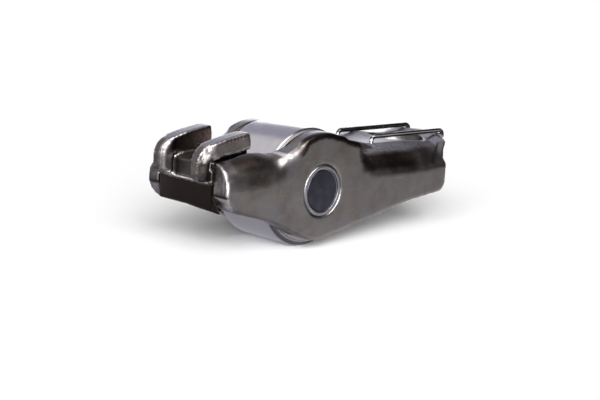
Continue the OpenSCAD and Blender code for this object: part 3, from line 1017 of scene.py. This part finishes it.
    def _tear(self) -> np.ndarray:
        """Breaks and roughens the sheared ends.

        Returns:
            The map of the torn faces.
        """
        p, n = self.hide.points, self.hide.normals()
        x, _, z, side = self.hide.axes()
        ahead = -n[:, 0]
        rag = crackle(p, 1.1, 4.0)
        lug = self._on_lug(side, 0.2) & (z > self.flange_top + 0.1)
        front = lug & (ahead > 0.45)
        cheek = lug & (side > self.lug_out - 0.45) & (x < -15.0)
        away = self.hide.near(front & (side > self.lug_out - 0.5), cheek)
        low = ramp(side, self.lug_out - 0.5, self.lug_out - 0.2) * ramp(z + 0.5 * rag, 5.4, 4.6)
        outer = ramp(away + 0.45 * rag, 1.5, 1.05) * cheek * (1 - 0.85 * low)
        self.hide.pinch(self.outer_tear * ramp(away + 0.3 * rag, 1.5, 0.0) * cheek)
        jaw = lug & (side < self.lug_in + 0.45) & (x < -17.4) & (z < 7.6)
        gap = self.hide.near(front & (side < self.lug_in + 0.5), jaw)
        wide = 0.25 + 0.95 * ramp(z, 6.6, 5.4)
        inner = 0.45 * ramp(gap + 0.35 * rag, wide + 0.2, wide - 0.15) * jaw * ramp(z, 3.6, 5.0)
        self.hide.pinch(-self.inner_tear * ramp(gap, 0.7, 0.0) * jaw)
        wall = side > self.inner_half - 0.1
        ends = wall & (x < self.end_x + 0.35)
        foot = wall * ramp(-x, 16.6, 17.2) * ramp(z, 0.45, 0.25) * ramp(ahead, 0.2, 0.5)
        shear = np.maximum.reduce([
            outer,
            inner,
            0.32 * ends * ramp(z + 0.3 * rag, 0.7, 1.2) * ramp(ahead, 0.3, 0.8),
            0.22 * lug * ramp(ahead, 0.4, 0.7) * ramp(z + 0.8 * rag, 7.4, 5.6),
            0.45 * foot,
        ])
        hot = np.flatnonzero(shear > 0.02)
        depth = np.abs(crackle(p[hot], 2.2, 9.0)) * self.pits * shear[hot]
        p[hot] -= n[hot] * depth[:, None]
        return shear

    def _far_seam(self) -> np.ndarray:
        """Sets the flange's far seam further out, as its slit wandered.

        Returns:
            Moved points; the maps are read from the points as they were.
        """
        x, y, z, _ = self.hide.axes()
        out = self.hide.points.copy()
        seam = ramp(-x, 16.6, 17.8) * hill(y, 3.4, 5.2, 5.9, 8.2) * ramp(z, 3.2, 2.2)
        out[:, 1] += self.far_seam * seam
        return out

    def _burr(self) -> None:
        """Raises the ragged burr along the flange's upper edge."""
        p = self.hide.points
        x, _, z, side = self.hide.axes()
        away = np.hypot(x - self.flange_x, z - self.flange_top)
        hot = np.flatnonzero((side < self.lug_out + 0.05) & (away < 0.5))
        rise = self.burr + self.burr_rag * crackle(p[hot] * (0, 1, 0), 1.7, 2.0)
        rise = rise * ramp(away[hot], 0.5, 0.05)
        p[hot, 2] += rise
        p[hot, 0] -= 0.4 * np.maximum(rise, 0)

    def _wear_and_glints(self) -> np.ndarray:
        """Finds the convex edges, rubbed bright, and the edges and scoops with painted highlights.

        Returns:
            The map of wear and painted highlights.
        """
        p, n = self.hide.points, self.hide.normals()
        x, y, z, side = self.hide.axes()
        lift = np.einsum("ij,ij->i", p - self.hide.average(p), n) / self.cell
        soft = self.hide.average(np.clip(lift, 0, None))
        crest = within(x, -9, 12) & (z > 3.5) & (side > 6.6)
        lug = self._on_lug(side, 0.3) & (z > self.flange_top + 0.4) & (x < -16.5)
        pad = (side < self.lug_in + 0.15) & within(x, -18.6, -11.0)
        pad = pad & within(z, self.flange_top + 0.4, 6.0)
        web = within(x, 9.5, 15.5) & (z > 4.0) & (side > 4.0)
        lip = (y > 0) & (side < 6.3) & (np.abs(x) < 9.5) & (z > 3.0)
        dull = (1 - 0.7 * crest) * (1 - 0.6 * lug) * (1 - 0.9 * (pad | web | lip))
        dull = dull * (1 - 0.9 * (within(y, 5.2, 6.3) & (x < -18.3)))
        # painted highlight in the scoop where each crest ear runs into its wall
        mouth = read(self.scoop, x) + 0.6 * (y > 0)
        mouth = ramp(np.abs(z - mouth), 0.85, 0.30) * hill(x, -8.9, -8.1, -5.8, -3.6)
        brim = self._from_brim(x, side)
        cut = ramp(-y, 5.9, 6.2) * ramp(-x, 17.0, 17.5) * ramp(z, 0.42, 0.28)
        burr = ramp(np.hypot(x - self.flange_x, z - self.flange_top - 0.15), 0.26, 0.12)
        far = hill(side, 5.44, 5.5, 5.62, 5.75) * (y > 0) * (x < -18.2)
        bright = np.maximum.reduce([
            ramp(soft, 0.06, 0.20) * dull,
            # painted highlight line on the near wall's outer end edge
            hill(side, 7.98, 8.10, 8.22, 8.34) * ramp(-x, 18.0, 18.2) * ramp(z, 0.5, 0.9),
            # painted highlight line on the far wall's inner end edge
            0.7 * far * hill(z, -1.5, -1.0, 2.2, 2.8),
            ramp(side, 4.95, 4.65) * burr,
            # painted highlight line along the walls' lower outer rims
            0.12 * hill(side, 7.9, 8.1, 8.3, 8.4) * (z < 0) * ramp(soft, 0.01, 0.05),
            0.8 * ramp(soft, 0.03, 0.12) * (np.abs(side - self.lug_in) < 0.18) * lug,
            # the painted scoop highlight
            0.75 * (side > 7.3) * mouth,
            # painted highlight line along the web's slanting edge at the wall
            0.85 * ramp(brim, 0.42, 0.16) * (z > 5.2),
            # painted sheen on the near wall's cut end, below the crease
            0.75 * cut * ramp(-n[:, 0], 0.3, 0.6),
        ])
        seam = within(side, self.lug_out - 0.8, self.lug_out + 0.3 + 1.8 * ramp(z, 1.2, -1.5))
        seam = seam & (z < 5.4) & (x < -17) & ((y < 0) | (x > -18.78))
        return bright * ~seam

    def _from_brim(self, x: np.ndarray, side: np.ndarray) -> np.ndarray:
        """Distance from the slanting edge where the web ends at the wall.

        Args:
            x: place along the lever.
            side: distance from the middle plane.

        Returns:
            The distances in millimetres, seen from above.
        """
        dx, dy = x - self.brim_from[0], side - self.brim_from[1]
        rx, ry = self.brim_run
        share = np.clip((dx * rx + dy * ry) / (rx * rx + ry * ry), 0, 1)
        return np.hypot(dx - rx * share, dy - ry * share)

    def _scale_and_shade(self) -> np.ndarray:
        """Finds dark brown scale, painted shade and dark reflections; over 1.05 it paints black
        shade.

        Returns:
            The map of scale and painted shade.
        """
        n = self.hide.normals()
        rag = 0.16 * crackle(self.hide.points * (0, 1, 0), 1.7, 5.0)
        maps = self._flange_scale_and_shade(n, rag) + self._lug_scale_and_shade(n, rag)
        return np.maximum.reduce(maps + self._wall_scale_and_shade(n))

    def _flange_scale_and_shade(self, n: np.ndarray, rag: np.ndarray) -> list[np.ndarray]:
        """Scale on the flange's front, partly painted dark reflection; painted seam shade; darker
        wall ends.

        Args:
            n: its normals.
            rag: a raggedness for each point.

        Returns:
            The maps.
        """
        x, y, z, side = self.hide.axes()
        top = self.flange_top + rag
        lapped = (side < self.lug_out + 1.9 * ramp(z, 1.2, -1.5)) * (y < 0)
        cheek = (side > self.lug_out - 0.2) & (x < self.flange_x + 0.9) & (z < 1.0)
        cheek = cheek & (np.abs(n[:, 1]) > 0.55)
        lapped = lapped * ((x < self.flange_x + 0.3) | cheek)
        front = np.maximum((side < self.lug_out + 0.1) * (x < self.flange_x + 1.2), lapped)
        seam = hill(side - self.lug_out, -0.10, 0.0, 0.22, 0.36) * (x < -17) * (z < 4.4)
        seam = seam * ((y < 0) | (x > -18.92))
        end = x < self.end_x + 0.2
        near_end = (y < 0.3 - self.inner_half) * end * ramp(z, 0.4, 0.8)
        return [
            # brown scale on the flange's front, partly a painted dark reflection
            front * ramp(z, top + 0.02, top - 0.2),
            # seams beside the flange painted black, as shade
            1.6 * seam,
            # painted shade along the crease across the walls' ends
            0.9 * (side > self.inner_half - 0.1) * end * hill(z, 0.42, 0.55, 0.72, 0.88),
            0.5 * near_end * ramp(rag, -0.06, 0.06),
            0.55 * (y > self.inner_half - 0.3) * end * ramp(z, 0.2, 0.6),
        ]

    def _lug_scale_and_shade(self, n: np.ndarray, rag: np.ndarray) -> list[np.ndarray]:
        """Painted shade between the lugs, round their feet and in the slits; darker roots, rears,
        fronts.

        Args:
            n: its normals.
            rag: a raggedness for each point.

        Returns:
            The maps.
        """
        x, y, z, side = self.hide.axes()
        nx, flat, nz = n[:, 0], np.abs(n[:, 1]), n[:, 2]
        behind = ramp(x, -18.3, -17.5) * (x < -11.2)
        between, above = side < self.lug_in, z > self.flange_top
        inner = (side < self.lug_in + 0.25) * (z > self.web_top + 0.15) * (flat > 0.8)
        pad = between * (z > self.flange_top + 0.4) * (x < -11.5) * (nz > 0.3)
        face = between * within(z, self.flange_top + 0.3, self.web_top) * (x < -17.5) * (nx < -0.6)
        corner = (np.abs(side - self.lug_in + 0.1) < 0.4) * hill(x, -18.95, -18.8, -18.1, -17.8)
        root = ramp(side + 2 * rag, self.lug_out - 1.0, self.lug_out - 0.5)
        root = root * (side < self.inner_half) * (x < -17.3)
        slit = within(side, self.lug_out - 0.75, self.inner_half + 0.12) * (flat > 0.6)
        roof = read(self.gap_roof, x)
        foot = within(side, 4.2, self.lug_out - 0.12) * ramp(z, roof + 0.1, roof - 0.1)
        heel = self._on_lug(side, 0.2) * (z > self.web_top + 0.4) * ramp(nx, 0.5, 0.8)
        brow = (0.42 + 0.2 * (y > 0)) * self._on_lug(side, -0.1) * ramp(-nx, 0.3, 0.6)
        return [
            # painted shade on the lugs' inner faces
            inner * ramp(x, -19.6, -18.8),
            # painted shade on the pad and its front, down between the lugs
            0.55 * pad,
            0.65 * face,
            # painted shade in the corners between the lugs and the pad's front
            0.9 * corner * above * (z < self.web_top + 0.4),
            0.75 * root * hill(z, 1.7, 1.9, 4.8, 5.8),
            # slits and the relief under the lugs' feet painted black, as shade
            1.6 * slit * (z < self.web_top) * behind,
            1.6 * foot * (z > 3.5) * behind,
            0.9 * heel * (x < -11),
            brow * (x < -17.0) * hill(z, 2.5, 3.2, 7.0, 8.2),
        ]

    def _wall_scale_and_shade(self, n: np.ndarray) -> list[np.ndarray]:
        """Where the walls bend: painted dark reflections on crest and shoulders, painted shade
        under the arms.

        Args:
            n: its normals.

        Returns:
            The maps.
        """
        x, y, z, side = self.hide.axes()
        flat = np.abs(n[:, 1])
        late = ramp(z, 3.4, 4.2)
        band = hill(flat, 0.20, 0.36, 0.93, 0.985) * ramp(side, 7.0, 7.3) * ramp(z, 3.6, 4.4)
        fold = hill(x, 7.6, 8.6, 11.0 - 1.4 * late, 13.0 - 2.4 * late) * (flat < 0.97)
        pivot = hill(x, 7.6, 9.6, 20.0, 24.0) * hill(z, 1.5, 2.4, 3.9, 4.5)
        notch = hill(x, 8.6, 9.2, 11.2, 11.8) * ramp(z, 4.5, 4.7) * ramp(side, 6.8, 6.4)
        flank = (side > 7.4) & (z > 3.4) & (np.abs(x) < 10) & (np.hypot(x, z) > 5.4)
        rolled = ramp(self.hide.near(flank & (flat < 0.93), flank), 0.78, 0.30) * flank
        shade = hill(x, -17.8, -16.8, -13.6, -12.0) * hill(z, 2.0, 2.8, 4.8, 5.4) * (flat < 0.99)
        under = hill(x, -17.2, -16.0, -12.4, -9.6) * ramp(z, 3.3, 4.3) * ramp(side, 5.9, 6.4)
        lip = (y > 0) * ramp(side, 6.25, 6.0) * (np.abs(x) < 9.5) * (z > 3.0)
        return [
            # painted dark reflection along the crest's rolled outer edge
            0.90 * band * hill(x, -5.6, -4.4, 8.6, 9.4),
            # painted dark reflection on the pivot shoulder and the fold where it starts
            0.6 * fold * hill(z, 2.2, 3.2, 5.4, 5.8) * ramp(side, 6.8, 7.4),
            0.9 * pivot * ramp(side, 6.4, 7.0),
            0.9 * notch * (side > self.inner_half - 0.45) * (y < 0),
            # painted dark reflection on the crest's rolled flanks
            1.2 * rolled * hill(x, -5.2, -4.0, 7.6, 8.8),
            # painted shade on the valve shoulders under the lugs
            0.22 * shade * ramp(side, 6.4, 7.0),
            0.85 * under,
            # painted shade on the far wall's inner top edge beside the roller
            0.95 * lip,
        ]

    def _polish_and_sheen(self) -> np.ndarray:
        """Finds the smooth light part of the cut ends and of up-facing faces, partly a painted
        sheen.

        Returns:
            The map of polish and painted sheen.
        """
        x, _, z, side = self.hide.axes()
        up = self.hide.normals()[:, 2]
        # cut ends low down painted lighter, a painted sheen
        cut = (side > self.inner_half - 0.1) * ramp(-x, 18.0, 18.3) * ramp(z, 0.46, 0.30)
        # faces that look up, on the pivot end and on the tops, painted lighter as a sheen
        pivot = ramp(x, 10.0, 11.6) * ramp(up, 0.55, 0.85) * ramp(z, 3.0, 4.0)
        top = ramp(up, 0.80, 0.95) * ramp(z, 4.6, 5.4)
        return np.maximum.reduce([cut, 0.7 * top, 0.8 * pivot])


@dataclass
class Roller:
    """Outer ring that runs on the cam, in millimetres."""

    finish: GroundRing = field(default_factory=GroundRing)
    radius: float = 8.75
    bore: float = 5.625
    half: float = 5.35
    bevel: float = 0.55
    land: float = 7.85
    step: float = 0.12
    bore_bevel: float = 0.3
    facets: int = 192

    def build(self) -> bpy.types.Object:
        """Turns the ring with its bevels and stepped ends.

        Returns:
            The finished piece.
        """
        right = [
            (self.bore, self.half - self.bore_bevel, 0.05),
            (self.bore + self.bore_bevel, self.half, 0.05),
            (self.land, self.half, 0.03),
            (self.land + 0.05, self.half - self.step, 0.02),
            (self.radius - self.bevel, self.half - self.step, 0.12),
            (self.radius, self.half - self.bevel, 0.16),
        ]
        piece = put(lathe("roller", right, self.facets), "roller", self.finish.build())
        dress(piece, ["roller_ring"], Body.ROLLER)
        return piece


@dataclass
class Axle:
    """Fixed axle with its staked ends, in millimetres."""

    finish: AxleSteel = field(default_factory=AxleSteel)
    radius: float = 3.78
    half: float = 8.2
    ring: float = 8.33
    disc: float = 3.06
    rim: float = 3.16
    groove: float = 0.1
    bevel: float = 0.3
    facets: int = 160

    def build(self) -> bpy.types.Object:
        """Turns the axle.

        Returns:
            The finished piece.
        """
        right = [
            (0.0, self.half, 0.0),
            (self.disc - 0.10, self.half, 0.03),
            (self.disc, self.half - self.groove - 0.03, 0.0),
            (self.rim, self.half - self.groove, 0.0),
            (self.rim + 0.06, self.ring - 0.02, 0.05),
            (self.rim + 0.36, self.ring, 0.08),
            (self.radius - 0.07, self.ring - 0.10, 0.06),
            (self.radius, self.ring - self.bevel, 0.04),
        ]
        piece = put(lathe("axle", right, self.facets), "axle_pin", self.finish.build())
        dress(piece, ["axle"], Body.LEVER)
        return piece


@dataclass
class NeedleRing:
    """The full ring of needles between axle and roller, in millimetres."""

    finish: NeedleSteel = field(default_factory=NeedleSteel)
    count: int = 16
    pitch: float = 4.7024
    radius: float = 0.9024
    length: float = 9.6
    crown: float = 0.12
    facets: int = 28

    def build(self) -> bpy.types.Object:
        """Repeats one turned needle on the pitch circle.

        Returns:
            The finished piece.
        """
        material = self.finish.build()
        right = [(0, self.length / 2, 0), (self.radius, self.length / 2, self.crown)]
        seed = put(lathe("needle", right, self.facets, 3), "needle_seed", material)
        r = Recipe("ring_of_needles", [
            ("Needles", "NodeSocketInt", self.count),
            ("Pitch Radius", "NodeSocketFloat", self.pitch * MM),
        ])
        inputs = {"Vertices": r.start["Needles"], "Radius": r.start["Pitch Radius"]}
        circle = r.node("GeometryNodeMeshCircle", inputs).outputs[0]
        inputs = {"Geometry": circle, "Rotation": (math.pi / 2, 0, 0)}
        upright = r.node("GeometryNodeTransform", inputs).outputs[0]
        inputs = {"Points": upright, "Instance": r.start["Geometry"]}
        copies = r.node("GeometryNodeInstanceOnPoints", inputs).outputs[0]
        piece = put(r.grow(seed, copies, material), "needles", material)
        nodes = [f"needle_{k:02d}" for k in range(1, self.count + 1)]
        dress(piece, nodes, Body.NEEDLES)
        return piece


@dataclass
class Clip:
    """Wire clip that keeps the pivot ball in its socket, in millimetres."""

    finish: SpringWire = field(default_factory=SpringWire)
    wire: float = 0.35
    bend: float = 0.8
    half: float = 3.6
    top: float = 6.3
    hook: float = 2.2
    rear: float = 15.2
    rear_foot: float = 14.85
    rear_end: float = 17.1
    front: float = 32.4514
    cross: float = 30.8514
    bend_steps: int = 10
    facets: int = 20

    def route(self) -> list[Point]:
        """Lays out the wire's path.

        Returns:
            Its corners from one free end to the other.
        """
        leg = [
            (self.rear_end, self.half, self.hook),
            (self.rear_foot, self.half, self.hook),
            (self.rear, self.half, self.top),
            (self.front, self.half, self.top),
            (self.front, self.half, self.hook),
            (self.cross, self.half, self.hook),
        ]
        return leg + [(x, -y, z) for x, y, z in reversed(leg)]

    def build(self) -> bpy.types.Object:
        """Rounds the path's corners and sweeps a round wire along it.

        Returns:
            The finished piece.
        """
        curve = bpy.data.curves.new("clip_path", "CURVE")
        curve.dimensions = "3D"
        line = curve.splines.new("POLY")
        corners = self.route()
        line.points.add(len(corners) - 1)
        for point, corner in zip(line.points, corners):
            point.co = (*(c * MM for c in corner), 1.0)
        seed = bpy.data.objects.new("clip_seed", curve)
        bpy.context.scene.collection.objects.link(seed)
        material = self.finish.build()
        r = Recipe("bent_wire", [
            ("Wire Radius", "NodeSocketFloat", self.wire * MM),
            ("Bend Radius", "NodeSocketFloat", self.bend * MM),
        ])
        inputs = {
            "Curve": r.start["Geometry"], "Radius": r.start["Bend Radius"], "Count": self.bend_steps
        }
        bends = r.node("GeometryNodeFilletCurve", inputs, mode="POLY").outputs[0]
        inputs = {"Radius": r.start["Wire Radius"], "Resolution": self.facets}
        section = r.node("GeometryNodeCurvePrimitiveCircle", inputs).outputs[0]
        inputs = {"Curve": bends, "Profile Curve": section, "Fill Caps": True}
        swept = r.node("GeometryNodeCurveToMesh", inputs).outputs[0]
        smooth = r.node("GeometryNodeSetShadeSmooth", {"Geometry": swept}).outputs[0]
        piece = put(r.grow(seed, smooth, material), "clip", material)
        dress(piece, ["retaining_clip"], Body.LEVER)
        return piece


def reflected(mesh: bpy.types.Mesh, glow: Glow, shares: Sequence[float]) -> None:
    """Sets a glowing sheet in the studio that only reflections see.

    Args:
        mesh: the sheet.
        glow: its glow, which names it too.
        shares: how far each point glows.
    """
    carry(mesh, "share", shares)
    made = put(mesh, glow.name, glow.build())
    made.visible_camera = False
    made.visible_diffuse = False
    made.visible_shadow = False


@dataclass(frozen=True)
class Lamp:
    """A wide soft lamp that shines alike on everything; towards points to it."""

    name: str
    towards: Point
    strength: float
    spread: float

    def build(self) -> None:
        """Adds the lamp."""
        data = bpy.data.lights.new(self.name, "SUN")
        data.energy = self.strength
        data.angle = math.radians(self.spread)
        made = bpy.data.objects.new(self.name, data)
        made.rotation_euler = Vector(self.towards).to_track_quat("Z", "Y").to_euler()
        bpy.context.scene.collection.objects.link(made)


@dataclass(frozen=True)
class Card:
    """A curved studio card that only reflections see, as set beside polished metal.

    Directions are degrees seen from the object: azimuth from +X towards +Y, and elevation.
    Its reach is in metres, and its soft edges are shares of its width and height.
    """

    name: str
    azimuth: tuple[float, float]
    elevation: tuple[float, float]
    colour: Colour
    level: float = 1.0
    fade: tuple[float, float] = (0.2, 0.2)
    reach: float = 0.6
    steps: tuple[int, int] = (28, 20)

    def build(self) -> None:
        """Adds the card with soft edges."""
        bm = bmesh.new()
        rows: list[list[bmesh.types.BMVert]] = []
        shares: list[float] = []
        for v in (j / self.steps[1] for j in range(self.steps[1] + 1)):
            e = math.radians(self.elevation[0] + (self.elevation[1] - self.elevation[0]) * v)
            rows.append([])
            for u in (i / self.steps[0] for i in range(self.steps[0] + 1)):
                a = math.radians(self.azimuth[0] + (self.azimuth[1] - self.azimuth[0]) * u)
                way = Vector((math.cos(a) * math.cos(e), math.sin(a) * math.cos(e), math.sin(e)))
                rows[-1].append(bm.verts.new(way * self.reach))
                ends = min(u, 1 - u) / self.fade[0], min(v, 1 - v) / self.fade[1]
                shares.append(min(1.0, *ends))
        for low, high in zip(rows, rows[1:]):
            for i in range(self.steps[0]):
                bm.faces.new((low[i], high[i], high[i + 1], low[i + 1]))
        reflected(closed(bm, self.name), Glow(self.name, self.colour, self.level), shares)


@dataclass
class Studio:
    """Floor, lamps, cards, world and the camera at the photograph's angle.

    The heights and the camera's spot are in millimetres, the sheets' sizes in metres.
    """

    floor_z: float = -8.8
    floor_half: float = 6.0
    bounce: Glow = Glow("bounce", (0.46, 0.455, 0.50))
    bounce_size: tuple[float, float] = (0.050, 0.095)
    bounce_at: tuple[float, float] = (-0.0228, 0.0175)
    bounce_lift: float = 0.04
    bounce_cells: tuple[int, int] = (22, 40)
    bounce_fade: float = 0.12
    ambient: float = 0.11
    lens: float = 75.32
    across: Point = (0.70805, -0.70421, 0.05249)
    up: Point = (0.09771, 0.17133, 0.98035)
    back: Point = (-0.69937, -0.68900, 0.19012)
    spot: Point = (-129.2075, -131.0686, 32.9676)
    lamps: tuple[Lamp, ...] = (
        Lamp("front", (-0.60, -0.74, 0.31), 3.6, 30),
        Lamp("front_right", (-0.345, -0.74, 0.58), 1.6, 30),
        Lamp("front_left", (-0.765, -0.44, 0.47), 1.95, 30),
    )
    cards: tuple[Card, ...] = (
        Card("dark_low", (-72, 24), (-4.1, 38), (0.010, 0.009, 0.010), 1.0, (0.06, 0.03), 0.12),
        Card("strip_back", (2, 40), (28, 60), (0.80, 0.79, 0.90), 1.3, (0.25, 0.25), 0.50),
        Card("dark_high", (-112, 0), (30, 86), (0.012, 0.011, 0.012), 1.0, (0.12, 0.15), 0.30),
        Card("grey_back", (2, 86), (20, 78), (0.50, 0.49, 0.58), 1.0, (0.10, 0.10), 0.60),
        Card("light_back", (36, 100), (-0.8, 22), (0.92, 0.92, 1.0), 2.6, (0.12, 0.15), 0.55),
        Card("soft_box", (-124, -60), (29, 68), (1.0, 0.95, 0.92), 12.0, (0.25, 0.25), 0.25),
    )

    def build(self) -> None:
        """Builds the studio."""
        self._floor()
        self._bounce()
        self._world()
        for item in (*self.lamps, *self.cards):
            item.build()
        self._camera()
        bpy.context.scene.view_settings.view_transform = "Standard"

    def _floor(self) -> None:
        """A wide pale floor under the roller."""
        bm = bmesh.new()
        bmesh.ops.create_grid(bm, x_segments=1, y_segments=1, size=self.floor_half)
        bmesh.ops.translate(bm, vec=(0, 0, self.floor_z * MM), verts=bm.verts)
        put(closed(bm, "floor"), "floor", PaleFloor().build())

    def _bounce(self) -> None:
        """A pale sheet on the floor, left of the roller, that only reflections see."""
        bm = bmesh.new()
        across, along = self.bounce_cells
        bmesh.ops.create_grid(bm, x_segments=across, y_segments=along, size=0.5)
        shares = [(0.5 - max(abs(v.co.x), abs(v.co.y))) / self.bounce_fade for v in bm.verts]
        height = (self.floor_z + self.bounce_lift) * MM
        bmesh.ops.scale(bm, vec=(*self.bounce_size, 1), verts=bm.verts)
        bmesh.ops.translate(bm, vec=(*self.bounce_at, height), verts=bm.verts)
        reflected(closed(bm, "bounce"), self.bounce, np.clip(shares, 0, 1))

    def _world(self) -> None:
        """White behind the object and in its gloss, softer as ambient light."""
        world = bpy.data.worlds.new("studio")
        world.use_nodes = True
        bpy.context.scene.world = world
        g = Graph(world.node_tree)
        g.tree.nodes.clear()
        path = g.node("ShaderNodeLightPath").outputs
        seen = path["Is Camera Ray"]
        for name in ("Is Glossy Ray", "Is Transmission Ray"):
            inputs = {0: seen, 1: path[name]}
            seen = g.node("ShaderNodeMath", inputs, operation="MAXIMUM").outputs[0]
        inputs = {"Value": seen, "To Min": self.ambient, "To Max": 1.0}
        level = g.node("ShaderNodeMapRange", inputs).outputs[0]
        light = g.node("ShaderNodeBackground", {"Color": (1.0, 1.0, 1.0), "Strength": level})
        g.node("ShaderNodeOutputWorld", {"Surface": light.outputs[0]})

    def _camera(self) -> None:
        """The camera that was fitted to the photograph."""
        data = bpy.data.cameras.new("photo_view")
        data.sensor_width = 36.0
        data.lens = self.lens
        data.clip_start = 0.005
        data.clip_end = 50.0
        made = bpy.data.objects.new("photo_view", data)
        turn = Matrix((self.across, self.up, self.back)).transposed().to_4x4()
        made.matrix_world = Matrix.Translation(Vector(self.spot) * MM) @ turn
        bpy.context.scene.collection.objects.link(made)
        bpy.context.scene.camera = made


def main() -> None:
    """Builds every piece and the studio."""
    logging.basicConfig(level=logging.INFO, format="%(name)s %(message)s")
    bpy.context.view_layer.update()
    pieces = [PressedLever(), Roller(), Axle(), NeedleRing(), Clip()]
    for piece in pieces:
        made = piece.build()
        LOG.info("built %s", made.name)
    Studio().build()


if __name__ == "__main__":
    main()
